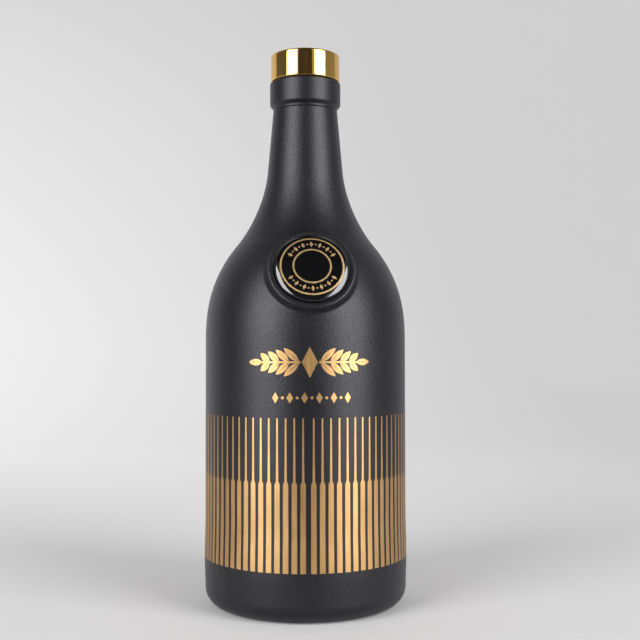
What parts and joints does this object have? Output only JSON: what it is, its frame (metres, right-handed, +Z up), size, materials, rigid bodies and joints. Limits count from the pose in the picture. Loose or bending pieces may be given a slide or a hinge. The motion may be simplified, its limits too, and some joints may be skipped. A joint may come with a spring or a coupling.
{
  "type": "liquor bottle with bar-top stopper",
  "caption": "Matte black coated glass spirits bottle with a round shoulder, domed seal medallion, gold bar print and a gold bar-top stopper.",
  "frame": {"origin": "middle of the base, on the surface that the bottle stands on", "axes": "+Z up along the bottle's axis, -Y towards the front with the seal, +X to the right of a viewer at the front"},
  "size_m": [0.0889, 0.0909, 0.2414],
  "materials": {
    "coated_glass": "matte black coating on glass",
    "gold_print": "satin gold foil print",
    "gloss_black": "high gloss",
    "polished_gold": "mirror polished, gold anodised",
    "black_plastic": "moulded, fine matte",
    "synthetic_cork": "fine foamed grain"
  },
  "bodies": {
    "bottle": {"glass_bottle": "coated_glass", "medallion": "gloss_black"},
    "stopper": {"stopper_cap": "polished_gold", "stopper_core": "black_plastic", "stopper_cork": "synthetic_cork"}
  },
  "joints": [
    {"name": "stopper_pull", "type": "slide", "parent": "bottle", "child": "stopper", "axis": [0, 0, 1], "range_m": [0, 0.022]}
  ]
}
